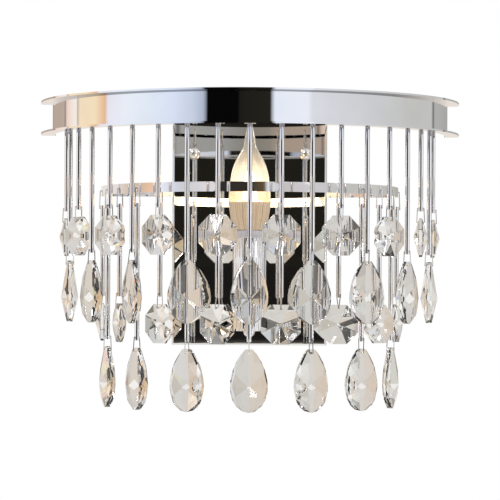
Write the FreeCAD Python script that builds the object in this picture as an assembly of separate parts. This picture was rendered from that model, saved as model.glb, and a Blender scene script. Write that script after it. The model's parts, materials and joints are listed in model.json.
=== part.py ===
import FreeCAD, Part
import math
import os
from FreeCAD import Vector

# A wall sconce with two half-round tiers of hanging crystals in front of a candle lamp.
#
# Millimetres. +Z is up, +X runs along the wall and -Y points into the room.
# The origin is midway between the two wall screws, on the wall plane y = 0.
#
# A polished tray-shaped back plate is held on a wall bracket by two studs with ball nuts.
# Two D-shaped frames of flat bar lie in notches of the tray. A half-round channel rim stands
# round the upper frame on short tabs. Wire hooks hang chrome rods from holes in both frames,
# and a wire clip at the foot of each rod carries one crystal, which swings on its clip:
# pear pendants on the long rods and octagons on the short rods, in turn.
# A candle lamp stands on a flat bracket in the middle, in a chrome sleeve.

# ---- Wall fixing -------------------------------------------------------------------------
bracket_length = 115.0
bracket_height = 24.0
bracket_corner_radius = 4.0
bracket_thickness = 1.5
wall_screw_spacing = 60.0
wall_slot_radius = 2.25
wall_slot_length = 12.0
stud_spacing = 95.0
stud_radius = 2.0
stud_clearance = 0.1           # round the studs in the plate and in the nuts
ball_nut_radius = 5.0
ball_nut_seat_depth = 0.5      # cut off the ball where it sits on the plate
ball_nut_thread_depth = 6.5
stud_end_gap = 0.5             # between a stud and the end of its nut's thread

# ---- Back plate: a shallow tray, open to the wall ----------------------------------------
plate_width = 131.5
plate_height = 200.0
plate_depth = 15.0
plate_thickness = 1.2
plate_bend_radius = 2.0
plate_bottom_z = -162.7

# ---- Flat-bar frames and rim -------------------------------------------------------------
bar_height = 8.0
bar_thickness = 2.0
bar_corner_radius = 8.0
lower_bar_bottom_z = -36.2
rim_gap = 9.0                  # between the upper frame and the rim's web
rim_web_thickness = 2.0
rim_height = 28.0
rim_bottom_z = 15.5
flange_reach = 9.8             # beyond the web
flange_thickness = 1.5
flange_end_radius = 3.0
tab_angles = [13.95, 41.85, 69.75]
tab_thickness = 2.0
tab_height = 6.0

# ---- Strands: one rod, one hook, one clip and one crystal each ---------------------------
outer_strand_radius = 156.5
outer_strand_pitch = 9.3       # degrees
outer_strands_each_side = 9
inner_strand_radius = 126.0
inner_strand_pitch = 11.75     # degrees
inner_strands_each_side = 7
# How far each strand has turned on its hook, in degrees, from the left end to the right.
outer_turns = [-6, -8, 17, 0, 4, -27, -10, 18, -12, 15, 12, -18, -8, -12, -4, 0, 20, 8, 6]
inner_turns = [-5, 0, -14, -10, -8, -5, -21, 0, -12, 5, -35, -16, -16, 0, -10]

long_rod = 113.0
short_rod = 77.0
rod_diameter = 4.0             # across flats
rod_sides = 8
rod_hole_inset = 2.5           # from the end of a rod to its cross-hole
wire_radius = 0.45
wire_clearance = 0.3           # round the wire in every drilled hole
wire_sides = 4
drill_sides = 4
wire_end_gap = 0.3             # from a bent wire end to the middle of its hole
hook_drop = 14.8               # from the hole in the bar to the hole in the rod
hook_half_width = 2.2
hook_foot_half_width = 2.8
clip_drop = 11.5               # from the hole in the rod to the hole in the crystal
clip_half_width = 2.8
clip_foot_half_width = 3.3

# ---- Crystals ----------------------------------------------------------------------------
pendant_width = 30.5
pendant_height = 51.0
pendant_thickness = 14.4
pendant_tab_thickness = 4.6    # at the top end
pendant_crown_edge = 5.0       # where the large facets meet the outline
pendant_girdle = 2.4
pendant_hole_inset = 3.0       # from the top end
pendant_top_angle = 22.0       # where the outline curve is cut square
pendant_outline_sides = 9      # on each side
pendant_waist = 0.605          # the widest level, as a share of the height from the top
pendant_crown_slope = 0.80
octagon_width = 32.0           # across flats
octagon_thickness = 12.0
octagon_girdle = 2.4
octagon_hole_inset = 3.2

# ---- Lamp --------------------------------------------------------------------------------
lamp_reach = 65.0              # from the wall to the lamp's axis
lamp_sleeve_bottom_z = -147.7
lamp_sleeve_length = 75.0
lamp_sleeve_radius = 14.0
lamp_sleeve_wall = 0.8
holder_clearance = 0.15        # round the lampholder in the sleeve
holder_collar_radius = 12.5
holder_collar_height = 6.2
holder_lip_height = 1.0        # where the collar covers the sleeve's mouth
holder_length = 40.0           # below the collar
lamp_bracket_width = 22.0
lamp_bracket_thickness = 2.0
lamp_bracket_rise = 24.0
lamp_bracket_overhang = 11.0
rivet_radius = 1.6
rivet_head_radius = 3.0
rivet_head_height = 1.2
rivet_low = 9.0                # above the bracket's foot
rivet_spacing = 9.0
lamp_bolt_radius = 3.0
lamp_bolt_engagement = 3.0     # into the lampholder
finial_radius = 4.8
finial_height = 5.2
finial_skirt = 1.4             # straight part above the dome
finial_cap_thickness = 1.5     # closed end below the bolt
finial_dome_rings = 3
contact_thickness = 0.8

# ---- Bulb --------------------------------------------------------------------------------
bulb_clearance = 0.3           # between the bulb and its holder
cap_radius = 6.95
cap_length = 17.0
cap_tip_radius = 3.0
cap_tip_length = 4.0
cap_tip_bevel = 1.0
heat_sink_height = 23.3
heat_sink_top_radius = 17.8
heat_sink_bottom_radius = 11.5
heat_sink_waist_radius = 15.7
heat_sink_waist_height = 9.4   # above the bulb's base
heat_sink_ribs = 18
heat_sink_groove = 0.7         # deep
heat_sink_band = 2.5           # plain at the top and the bottom
glass_height = 68.2
glass_wall = 0.9
# The flame's outline as (share of its height, share of the heat sink's top radius).
candle_outline = [
    (0.0, 0.985),
    (0.13, 0.985),
    (0.39, 0.83),
    (0.53, 0.61),
    (0.67, 0.31),
    (0.92, 0.14),
]
led_board_radius = 12.0
led_board_thickness = 1.2
led_guide_radius = 6.5
led_guide_tip_radius = 3.0
led_guide_height = 24.0

# ---- Mains connection behind the plate ---------------------------------------------------
terminal_length = 22.0
terminal_height = 11.0
terminal_depth = 8.0
terminal_top_z = -14.5
terminal_ways = 3
terminal_screw_radius = 1.6
terminal_groove_width = 1.0
terminal_groove_depth = 2.0
earth_screw_x = 15.0
earth_screw_across_flats = 6.0
earth_screw_height = 3.0

# ---- Sizes that follow -------------------------------------------------------------------
same = 0.01                    # places nearer to each other than this are one place
overshoot = 1.0                # a cutting tool runs this far past the face that it cuts
drill_radius = wire_radius + wire_clearance
rim_web_radius = outer_strand_radius + bar_thickness / 2 + rim_gap + rim_web_thickness  # outside
upper_bar_bottom_z = rim_bottom_z + rim_height - bar_height                             # flush on top
plate_top_z = plate_bottom_z + plate_height
holder_seat_z = lamp_sleeve_bottom_z + lamp_sleeve_length
holder_top_z = holder_seat_z + holder_collar_height
bulb_base_z = holder_top_z + bulb_clearance
heat_sink_top_z = bulb_base_z + heat_sink_height
cap_bottom_z = bulb_base_z - cap_length
cap_tip_z = cap_bottom_z - cap_tip_length
contact_top_z = cap_tip_z - bulb_clearance
holder_bottom_z = holder_seat_z - holder_length
bracket_foot_top_z = lamp_sleeve_bottom_z
bracket_foot_bottom_z = bracket_foot_top_z - lamp_bracket_thickness


# ---- Helpers -----------------------------------------------------------------------------
def box_between(low, high):
    """A box from its lowest to its highest corner."""
    size = [b - a for a, b in zip(low, high)]
    return Part.makeBox(size[0], size[1], size[2], Vector(*low))


def turned(profile, axis_x=0.0, axis_y=0.0):
    """A solid of revolution about a vertical axis, from (radius, z) points in order."""
    points = [Vector(axis_x + r, axis_y, z) for r, z in profile]
    face = Part.Face(Part.makePolygon(points + points[:1]))
    return face.revolve(Vector(axis_x, axis_y, 0), Vector(0, 0, 1), 360)


def prism_hole(centre, radius, half_length):
    """A small drilled hole along Y, as a prism whose flats lie at the radius."""
    corner = radius / math.cos(math.pi / drill_sides)
    points = []
    for i in range(drill_sides):
        angle = 2 * math.pi * (i + 0.5) / drill_sides
        points.append(centre + Vector(corner * math.cos(angle), -half_length, corner * math.sin(angle)))
    face = Part.Face(Part.makePolygon(points + points[:1]))
    return face.extrude(Vector(0, 2 * half_length, 0))


def closed_solid(faces):
    """A solid from faces that close it, turned right side out."""
    solid = Part.Solid(Part.Shell(faces))
    if solid.Volume < 0:
        solid.reverse()
    return solid


def bent_wire(points):
    """Wire along a run of points, mitred at its bends. The first run lies along Y."""
    runs = [(end - start).normalize() for start, end in zip(points, points[1:])]
    ring = []
    for j in range(wire_sides):
        angle = 2 * math.pi * j / wire_sides
        offset = Vector(wire_radius * math.cos(angle), 0, wire_radius * math.sin(angle))
        ring.append(points[0] + offset)
    faces = [Part.Face(Part.makePolygon(ring + ring[:1]))]
    for i, run in enumerate(runs):
        following = runs[min(i + 1, len(runs) - 1)]
        mitre = run + following
        far = [p + run * ((points[i + 1] - p).dot(mitre) / run.dot(mitre)) for p in ring]
        for j in range(wire_sides):
            k = (j + 1) % wire_sides
            faces.append(Part.Face(Part.makePolygon([ring[j], ring[k], far[k], far[j], ring[j]])))
        ring = far
    faces.append(Part.Face(Part.makePolygon(ring + ring[:1])))
    return closed_solid(faces)


def link(drop, half_width, foot_half_width, twist=0.0):
    """A bow of wire. Its bar lies along Y, `drop` above the hole that its two bent ends share.

    The ends are turned about the vertical by `twist` degrees.
    """
    angle = math.radians(twist)
    across = Vector(-math.sin(angle), math.cos(angle), 0)
    rise = Vector(0, 0, drop)
    bar = Vector(0, half_width, 0)
    # The wire is drawn from its bar to each end, because its first run has to lie along Y.
    halves = []
    for side in (-1, 1):
        halves.append([rise + bar * side, across * (foot_half_width * side), across * (wire_end_gap * side)])
    front, back = halves
    body = bent_wire([rise, front[0], front[1], front[2]])
    return body.fuse(bent_wire([rise, back[0], back[1], back[2]])).removeSplitter()


def ground(blank, normal, distance):
    """The blank with a facet ground on it: what lies beyond the plane is taken off."""
    reach = 4 * (pendant_height + octagon_width)
    waste = Part.makeBox(reach, reach, reach, Vector(-reach / 2, -reach / 2, 0))
    waste.Placement = FreeCAD.Placement(
        normal * distance, FreeCAD.Rotation(Vector(0, 0, 1), normal)
    )
    return blank.cut(waste)


def facet(blank, rise, slope_x, slope_z):
    """Grinds y = rise - slope_x * x - slope_z * z on the front, and its mirror image on the back."""
    for side in (-1, 1):
        normal = Vector(slope_x, side, slope_z)
        distance = rise / normal.Length
        blank = ground(blank, normal.normalize(), distance)
    return blank


# ---- Crystals ----------------------------------------------------------------------------
def pear_half_width(angle):
    """Half width of the pendant's outline at an angle round it, from the top."""
    shape = math.sin(angle) * math.sqrt(math.sin(angle / 2))
    # The curve is widest where the square of sin(angle / 2) is three fifths.
    widest = 2 * math.sqrt(3 / 5 * 2 / 5) * (3 / 5) ** 0.25
    return pendant_width / 2 * shape / widest


def pendant():
    """A pear drop with its hole at the origin: eight large facets and a crown on each face."""
    start = math.radians(pendant_top_angle)
    curve_half = pendant_height / (1 + math.cos(start))
    top_z = pendant_hole_inset
    curve_middle_z = top_z - curve_half * math.cos(start)
    waist_z = top_z - pendant_waist * pendant_height
    right = []
    for i in range(pendant_outline_sides + 1):
        angle = start + (math.pi - start) * i / pendant_outline_sides
        right.append((pear_half_width(angle), curve_middle_z + curve_half * math.cos(angle)))
    outline = right[:-1] + [(0.0, right[-1][1])] + [(-x, z) for x, z in reversed(right[:-1])]
    half = pendant_thickness / 2
    points = [Vector(x, -half, z) for x, z in outline]
    blank = Part.Face(Part.makePolygon(points + points[:1])).extrude(Vector(0, 2 * half, 0))

    # Large facets meet in a point at the waist. Each is set by how thick it leaves the outline.
    edge = pendant_crown_edge / 2
    side_slope = (half - edge) / (pendant_width / 2)
    shoulder = right[3]
    shoulder_rise = shoulder[1] - waist_z
    low_corner = right[6]
    low_drop = waist_z - low_corner[1]
    bottom_drop = waist_z - right[-1][1]
    tip_slope = (half - pendant_tab_thickness / 2) / (top_z - waist_z)
    tip_side_slope = (half - edge - tip_slope * shoulder_rise) / shoulder[0]
    shoulder_slope = (half - edge - side_slope * shoulder[0]) / shoulder_rise
    belly_slope = (half - edge - side_slope * low_corner[0]) / low_drop
    bottom_slope = (half - edge) / bottom_drop
    bottom_side_slope = (half - edge - bottom_slope * low_drop) / low_corner[0]
    large = [
        (tip_side_slope, tip_slope),
        (side_slope, shoulder_slope),
        (side_slope, -belly_slope),
        (bottom_side_slope, -bottom_slope),
    ]
    for slope_x, slope_z in large:
        for hand in (-1, 1):
            rise = half + slope_z * waist_z
            blank = facet(blank, rise, hand * slope_x, slope_z)

    # A crown of steeper facets leans in from the outline.
    for i in range(1, pendant_outline_sides, 2):
        (x0, z0), (x1, z1) = right[i], right[i + 1]
        length = math.hypot(x1 - x0, z1 - z0)
        out_x = (z0 - z1) / length
        out_z = (x1 - x0) / length
        reach = out_x * x0 + out_z * z0
        for hand in (-1, 1):
            rise = pendant_girdle / 2 + pendant_crown_slope * reach
            blank = facet(
                blank, rise, hand * pendant_crown_slope * out_x, pendant_crown_slope * out_z
            )
    return blank.cut(prism_hole(Vector(0, 0, 0), drill_radius, half + overshoot))


def octagon():
    """An octagonal drop with its hole at the origin: eight facets meet in a point on each face."""
    middle_z = octagon_hole_inset - octagon_width / 2
    corner_radius = octagon_width / 2 / math.cos(math.pi / 8)
    half = octagon_thickness / 2
    points = []
    for i in range(8):
        angle = math.pi / 8 + i * math.pi / 4
        points.append(
            Vector(corner_radius * math.cos(angle), -half, middle_z + corner_radius * math.sin(angle))
        )
    blank = Part.Face(Part.makePolygon(points + points[:1])).extrude(Vector(0, 2 * half, 0))
    slope = (half - octagon_girdle / 2) / (octagon_width / 2)
    for i in range(8):
        angle = i * math.pi / 4
        slope_x = slope * math.cos(angle)
        slope_z = slope * math.sin(angle)
        blank = facet(blank, half + slope_z * middle_z, slope_x, slope_z)
    return blank.cut(prism_hole(Vector(0, 0, 0), drill_radius, half + overshoot))


# ---- Strands -----------------------------------------------------------------------------
def strand_list(name, radius, pitch, each_side, bar_bottom_z, turns):
    """Where each strand of a tier hangs and what is on it, from left to right."""
    strands = []
    counts = {"pendant": 0, "octagon": 0}
    bar_hole_z = bar_bottom_z + bar_height / 2
    for index, step in enumerate(range(-each_side, each_side + 1)):
        drop = "pendant" if step % 2 == 0 else "octagon"
        counts[drop] += 1
        rod_length = long_rod if drop == "pendant" else short_rod
        rod_top_hole_z = bar_hole_z - hook_drop
        rod_top_z = rod_top_hole_z + rod_hole_inset
        rod_bottom_hole_z = rod_top_z - rod_length + rod_hole_inset
        strands.append(
            {
                "node": "%s_%s_%02d" % (name, drop, counts[drop]),
                "drop": drop,
                "radius": radius,
                "angle": step * pitch,
                "turn": turns[index % len(turns)],
                "rod_length": rod_length,
                "rod_top_z": rod_top_z,
                "rod_top_hole_z": rod_top_hole_z,
                "rod_bottom_hole_z": rod_bottom_hole_z,
                "crystal_hole_z": rod_bottom_hole_z - clip_drop,
            }
        )
    return strands


def hung(shape, strand, z, with_turn):
    """A copy of a shape at a strand's place round the tier, at a level."""
    copy = shape.copy()
    if with_turn:
        copy.rotate(Vector(0, 0, 0), Vector(0, 0, 1), strand["turn"])
    copy.translate(Vector(0, -strand["radius"], z))
    copy.rotate(Vector(0, 0, 0), Vector(0, 0, 1), strand["angle"])
    return copy


def rod(length):
    """A rod with a cross-hole near each end, its lower end at z = 0."""
    corner = rod_diameter / 2 / math.cos(math.pi / rod_sides)
    points = []
    for i in range(rod_sides):
        angle = 2 * math.pi * (i + 0.5) / rod_sides
        points.append(Vector(corner * math.cos(angle), corner * math.sin(angle), 0))
    solid = Part.Face(Part.makePolygon(points + points[:1])).extrude(Vector(0, 0, length))
    for z in (rod_hole_inset, length - rod_hole_inset):
        solid = solid.cut(prism_hole(Vector(0, 0, z), drill_radius, rod_diameter))
    return solid


outer_strands = strand_list(
    "outer",
    outer_strand_radius,
    outer_strand_pitch,
    outer_strands_each_side,
    upper_bar_bottom_z,
    outer_turns,
)
inner_strands = strand_list(
    "inner",
    inner_strand_radius,
    inner_strand_pitch,
    inner_strands_each_side,
    lower_bar_bottom_z,
    inner_turns,
)


# ---- Frames and rim ----------------------------------------------------------------------
def half_disc(radius, back_y, bottom_z, height, corner_radius):
    """A half-round slab in front of y = back_y, with its two back corners rounded."""
    disc = Part.makeCylinder(radius, height, Vector(0, 0, bottom_z))
    front = box_between((-2 * radius, -2 * radius, bottom_z), (2 * radius, back_y, bottom_z + height))
    slab = disc.common(front)
    corners = []
    for edge in slab.Edges:
        upright = abs(edge.Vertexes[0].Z - edge.Vertexes[-1].Z) > height / 2
        if upright and abs(edge.Vertexes[0].Y - back_y) < same:
            corners.append(edge)
    return slab.makeFillet(corner_radius, corners)


def flat_bar_frame(strands, bottom_z):
    """A D of flat bar round the strands' circle, drilled for their hooks."""
    middle = strands[0]["radius"]
    outside = half_disc(middle + bar_thickness / 2, 0, bottom_z, bar_height, bar_corner_radius)
    inside = half_disc(
        middle - bar_thickness / 2,
        -bar_thickness,
        bottom_z,
        bar_height,
        bar_corner_radius - bar_thickness,
    )
    frame = outside.cut(inside)
    drill = prism_hole(Vector(0, 0, 0), drill_radius, 2 * bar_thickness)
    holes = [hung(drill, strand, bottom_z + bar_height / 2, False) for strand in strands]
    return frame.cut(Part.makeCompound(holes))


def outer_rim():
    """The half-round channel, open outwards, with rounded flange ends at the wall."""
    inside = rim_web_radius - rim_web_thickness
    outside = rim_web_radius + flange_reach
    bottom = rim_bottom_z
    top = rim_bottom_z + rim_height
    profile = [
        (inside, bottom),
        (outside, bottom),
        (outside, bottom + flange_thickness),
        (rim_web_radius, bottom + flange_thickness),
        (rim_web_radius, top - flange_thickness),
        (outside, top - flange_thickness),
        (outside, top),
        (inside, top),
    ]
    points = [Vector(r, 0, z) for r, z in profile]
    face = Part.Face(Part.makePolygon(points + points[:1]))
    channel = face.revolve(Vector(0, 0, 0), Vector(0, 0, 1), -180)
    ends = []
    for edge in channel.Edges:
        first, last = edge.Vertexes[0].Point, edge.Vertexes[-1].Point
        upright = abs(abs(first.z - last.z) - flange_thickness) < same
        if upright and abs(abs(first.x) - outside) < same and abs(first.y) < same:
            ends.append(edge)
    return channel.makeFillet(flange_end_radius, ends)


def rim_tabs():
    """Short strips that carry the rim on the upper frame, between the hooks."""
    start = outer_strand_radius + bar_thickness / 2
    end = rim_web_radius - rim_web_thickness
    middle_z = upper_bar_bottom_z + bar_height / 2
    # The end faces follow the curves that they meet.
    ring = Part.makeCylinder(end, tab_height, Vector(0, 0, middle_z - tab_height / 2))
    ring = ring.cut(Part.makeCylinder(start, tab_height, Vector(0, 0, middle_z - tab_height / 2)))
    tabs = []
    for angle in [-a for a in reversed(tab_angles)] + tab_angles:
        blade = box_between(
            (-tab_thickness / 2, -end - overshoot, middle_z - tab_height),
            (tab_thickness / 2, -start + overshoot, middle_z + tab_height),
        )
        blade.rotate(Vector(0, 0, 0), Vector(0, 0, 1), angle)
        tabs.append(ring.common(blade))
    return tabs


# ---- Wall fixing and back plate ----------------------------------------------------------
def wall_bracket():
    """A flat strap on the wall with two slots for the wall screws."""
    strap = box_between(
        (-bracket_length / 2, -bracket_thickness, -bracket_height / 2),
        (bracket_length / 2, 0, bracket_height / 2),
    )
    upright = [e for e in strap.Edges if abs(e.Vertexes[0].Y - e.Vertexes[-1].Y) > bracket_thickness / 2]
    strap = strap.makeFillet(bracket_corner_radius, upright)
    straight = wall_slot_length / 2 - wall_slot_radius
    for middle_x in (-wall_screw_spacing / 2, wall_screw_spacing / 2):
        slot = box_between(
            (middle_x - straight, -bracket_thickness, -wall_slot_radius),
            (middle_x + straight, 0, wall_slot_radius),
        )
        for end_x in (middle_x - straight, middle_x + straight):
            round_end = Part.makeCylinder(
                wall_slot_radius, bracket_thickness, Vector(end_x, 0, 0), Vector(0, -1, 0)
            )
            slot = slot.fuse(round_end)
        strap = strap.cut(slot)
    return strap


stud_places = [-stud_spacing / 2, stud_spacing / 2]
stud_end_y = -(plate_depth + ball_nut_thread_depth)


def bracket_studs():
    """Studs that stand on the bracket and pass through the plate."""
    length = -stud_end_y - bracket_thickness - stud_end_gap
    return [
        Part.makeCylinder(stud_radius, length, Vector(x, -bracket_thickness, 0), Vector(0, -1, 0))
        for x in stud_places
    ]


def ball_nuts():
    """Ball nuts that hold the plate, flat where they sit and bored for the studs."""
    middle = ball_nut_radius - ball_nut_seat_depth
    bore = stud_radius + stud_clearance
    front = Vector(0, 0, middle + ball_nut_radius)
    side = Vector(ball_nut_radius, 0, middle)
    seat_rim = Vector(math.sqrt(ball_nut_radius**2 - middle**2), 0, 0)
    points = [
        seat_rim,
        Vector(bore, 0, 0),
        Vector(bore, 0, ball_nut_thread_depth),
        Vector(0, 0, ball_nut_thread_depth),
        front,
    ]
    edges = [Part.makeLine(start, end) for start, end in zip(points, points[1:])]
    edges.append(Part.Arc(front, side, seat_rim).toShape())
    nuts = []
    for x in stud_places:
        nut = Part.Face(Part.Wire(edges)).revolve(Vector(0, 0, 0), Vector(0, 0, 1), 360)
        nut.rotate(Vector(0, 0, 0), Vector(1, 0, 0), 90)
        nut.translate(Vector(x, -plate_depth, 0))
        nuts.append(nut)
    return nuts


rivet_levels = [bracket_foot_bottom_z + rivet_low, bracket_foot_bottom_z + rivet_low + rivet_spacing]


def back_plate():
    """The polished tray, with holes for studs and rivets and notches for the frames."""
    half = plate_width / 2
    shell = box_between((-half, -plate_depth, plate_bottom_z), (half, 0, plate_top_z))
    front_edges = [e for e in shell.Edges if all(abs(v.Y + plate_depth) < same for v in e.Vertexes)]
    shell = shell.makeFillet(plate_bend_radius, front_edges)
    hollow = box_between(
        (-half + plate_thickness, -plate_depth + plate_thickness, plate_bottom_z + plate_thickness),
        (half - plate_thickness, 0, plate_top_z - plate_thickness),
    )
    shell = shell.cut(hollow)
    for x in stud_places:
        shell = shell.cut(
            Part.makeCylinder(
                stud_radius + stud_clearance, plate_depth, Vector(x, 0, 0), Vector(0, -1, 0)
            )
        )
    for z in rivet_levels:
        shell = shell.cut(Part.makeCylinder(rivet_radius, plate_depth, Vector(0, 0, z), Vector(0, -1, 0)))
    for bottom_z in (upper_bar_bottom_z, lower_bar_bottom_z):
        shell = shell.cut(
            box_between((-half, -bar_thickness, bottom_z), (half, 0, bottom_z + bar_height))
        )
    return shell


# ---- Mains connection --------------------------------------------------------------------
def terminal_block():
    """A moulded block of terminals on the back of the plate, with a screw well over each way."""
    back_y = -plate_depth + plate_thickness
    low_z = terminal_top_z - terminal_height
    block = box_between(
        (-terminal_length / 2, back_y, low_z), (terminal_length / 2, back_y + terminal_depth, terminal_top_z)
    )
    way = terminal_length / terminal_ways
    for i in range(terminal_ways):
        x = -terminal_length / 2 + way * (i + 0.5)
        middle_z = terminal_top_z - terminal_height / 2
        mouth = Vector(x, back_y + terminal_depth, middle_z)
        block = block.cut(prism_hole(mouth, terminal_screw_radius, terminal_depth / 2))
        if i:
            groove = box_between(
                (
                    x - way / 2 - terminal_groove_width / 2,
                    back_y + terminal_depth - terminal_groove_depth,
                    low_z,
                ),
                (x - way / 2 + terminal_groove_width / 2, back_y + terminal_depth, terminal_top_z),
            )
            block = block.cut(groove)
    return block


def earth_terminal():
    """A hexagon screw for the earth wire on the bracket."""
    corner = earth_screw_across_flats / 2 / math.cos(math.pi / 6)
    points = []
    for i in range(6):
        angle = i * math.pi / 3
        points.append(
            Vector(earth_screw_x + corner * math.cos(angle), -bracket_thickness, corner * math.sin(angle))
        )
    return Part.Face(Part.makePolygon(points + points[:1])).extrude(Vector(0, -earth_screw_height, 0))


# ---- Lamp --------------------------------------------------------------------------------
def lamp_bracket():
    """A flat strip bent to an L: riveted up the plate, and out under the lamp with a round end."""
    half = lamp_bracket_width / 2
    foot = box_between(
        (-half, -lamp_reach, bracket_foot_bottom_z), (half, -plate_depth, bracket_foot_top_z)
    )
    end = Part.makeCylinder(
        lamp_bracket_overhang, lamp_bracket_thickness, Vector(0, -lamp_reach, bracket_foot_bottom_z)
    )
    upright = box_between(
        (-half, -plate_depth - lamp_bracket_thickness, bracket_foot_bottom_z),
        (half, -plate_depth, bracket_foot_bottom_z + lamp_bracket_rise),
    )
    strip = foot.fuse([end, upright]).removeSplitter()
    strip = strip.cut(
        Part.makeCylinder(
            lamp_bolt_radius, lamp_bracket_thickness, Vector(0, -lamp_reach, bracket_foot_bottom_z)
        )
    )
    for z in rivet_levels:
        strip = strip.cut(
            Part.makeCylinder(
                rivet_radius, lamp_bracket_thickness, Vector(0, -plate_depth, z), Vector(0, -1, 0)
            )
        )
    return strip


def rivets():
    """Two rivets through the lamp bracket and the plate."""
    grip = lamp_bracket_thickness + plate_thickness
    profile = [
        (0, -rivet_head_height),
        (rivet_head_radius, -rivet_head_height),
        (rivet_head_radius, 0),
        (rivet_radius, 0),
        (rivet_radius, grip),
        (rivet_head_radius, grip),
        (rivet_head_radius, grip + rivet_head_height),
        (0, grip + rivet_head_height),
    ]
    solids = []
    for z in rivet_levels:
        rivet = turned(profile)
        rivet.rotate(Vector(0, 0, 0), Vector(1, 0, 0), 90)
        rivet.translate(Vector(0, -plate_depth + plate_thickness, z))
        solids.append(rivet)
    return solids


def lamp_sleeve():
    """The chrome cup round the lampholder, bored for the lamp bolt."""
    outer = lamp_sleeve_radius
    inner = lamp_sleeve_radius - lamp_sleeve_wall
    bottom = lamp_sleeve_bottom_z
    return turned(
        [
            (lamp_bolt_radius, bottom),
            (outer, bottom),
            (outer, holder_seat_z),
            (inner, holder_seat_z),
            (inner, bottom + lamp_sleeve_wall),
            (lamp_bolt_radius, bottom + lamp_sleeve_wall),
        ],
        0,
        -lamp_reach,
    )


def lampholder():
    """The moulded holder: a collar over the sleeve's mouth and a body down inside it."""
    body_radius = lamp_sleeve_radius - lamp_sleeve_wall - holder_clearance
    bore = cap_radius + bulb_clearance
    contact_seat_z = contact_top_z - contact_thickness
    return turned(
        [
            (bore, holder_top_z),
            (holder_collar_radius, holder_top_z),
            (holder_collar_radius, holder_seat_z + holder_lip_height),
            (lamp_sleeve_radius, holder_seat_z + holder_lip_height),
            (lamp_sleeve_radius, holder_seat_z),
            (body_radius, holder_seat_z),
            (body_radius, holder_bottom_z),
            (lamp_bolt_radius, holder_bottom_z),
            (lamp_bolt_radius, contact_seat_z),
            (bore, contact_seat_z),
        ],
        0,
        -lamp_reach,
    )


def lampholder_contact():
    """The brass disc under the bulb's tip."""
    z = contact_top_z - contact_thickness
    return Part.makeCylinder(
        cap_radius + bulb_clearance, contact_thickness, Vector(0, -lamp_reach, z)
    )


def lamp_bolt():
    """The bolt that clamps holder, sleeve and bracket together."""
    bottom = bracket_foot_bottom_z - finial_height + finial_cap_thickness
    top = holder_bottom_z + lamp_bolt_engagement
    return Part.makeCylinder(lamp_bolt_radius, top - bottom, Vector(0, -lamp_reach, bottom))


def lamp_finial():
    """The domed nut under the lamp."""
    top = bracket_foot_bottom_z
    dome_z = top - finial_skirt
    dome = [(lamp_bolt_radius, top), (finial_radius, top), (finial_radius, dome_z)]
    rise = finial_height - finial_skirt
    for i in range(1, finial_dome_rings):
        angle = math.pi / 2 * i / finial_dome_rings
        dome.append((finial_radius * math.cos(angle), dome_z - rise * math.sin(angle)))
    bore_end_z = top - finial_height + finial_cap_thickness
    dome += [(0, top - finial_height), (0, bore_end_z), (lamp_bolt_radius, bore_end_z)]
    return turned(dome, 0, -lamp_reach)


# ---- Bulb --------------------------------------------------------------------------------
def bulb_cap():
    """The screw cap with its insulating cone and tip."""
    return turned(
        [
            (0, bulb_base_z),
            (cap_radius, bulb_base_z),
            (cap_radius, cap_bottom_z),
            (cap_tip_radius, cap_tip_z + cap_tip_bevel),
            (cap_tip_radius - cap_tip_bevel, cap_tip_z),
            (0, cap_tip_z),
        ],
        0,
        -lamp_reach,
    )


def bulb_heat_sink():
    """The flared housing, grooved up and down its waist into ribs."""
    levels = [
        (heat_sink_bottom_radius, 0.0),
        (heat_sink_waist_radius, heat_sink_waist_height),
        (heat_sink_top_radius, heat_sink_height),
    ]
    profile = [(0, bulb_base_z)] + [(r, bulb_base_z + h) for r, h in levels] + [(0, heat_sink_top_z)]
    body = turned(profile, 0, -lamp_reach)
    grooves = []
    for (low_radius, low), (high_radius, high) in zip(levels, levels[1:]):
        slope = (high_radius - low_radius) / (high - low)
        start = max(low, heat_sink_band)
        end = min(high, heat_sink_height - heat_sink_band)
        for i in range(heat_sink_ribs):
            sections = []
            for height in (start, end):
                surface = low_radius + slope * (height - low)
                half = math.pi * surface / heat_sink_ribs / 3
                proud = surface + heat_sink_groove
                corners = [(-half, proud), (half, proud), (0, surface - heat_sink_groove)]
                points = [Vector(x, -r, bulb_base_z + height) for x, r in corners]
                sections.append(Part.makePolygon(points + points[:1]))
            groove = Part.makeLoft(sections, True, True)
            groove.rotate(Vector(0, 0, 0), Vector(0, 0, 1), 360.0 * i / heat_sink_ribs)
            groove.translate(Vector(0, -lamp_reach, 0))
            grooves.append(groove)
    return body.cut(grooves)


def bulb_glass():
    """The flame-shaped glass, open where it sits on the heat sink."""
    outer = [(share * heat_sink_top_radius, height * glass_height) for height, share in candle_outline]
    inner = [(radius - glass_wall, z) for radius, z in outer[:1] + outer[2:-1]]
    profile = outer + [(0, glass_height), (0, inner[-1][1])] + inner[::-1]
    return turned([(r, z + heat_sink_top_z) for r, z in profile], 0, -lamp_reach)


def bulb_led_core():
    """The lamp board and the light guide that stands on it, inside the glass."""
    top = heat_sink_top_z + led_board_thickness
    profile = [
        (0, heat_sink_top_z),
        (led_board_radius, heat_sink_top_z),
        (led_board_radius, top),
        (led_guide_radius, top),
        (led_guide_tip_radius, top + led_guide_height),
        (0, top + led_guide_height),
    ]
    return turned(profile, 0, -lamp_reach)


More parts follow.
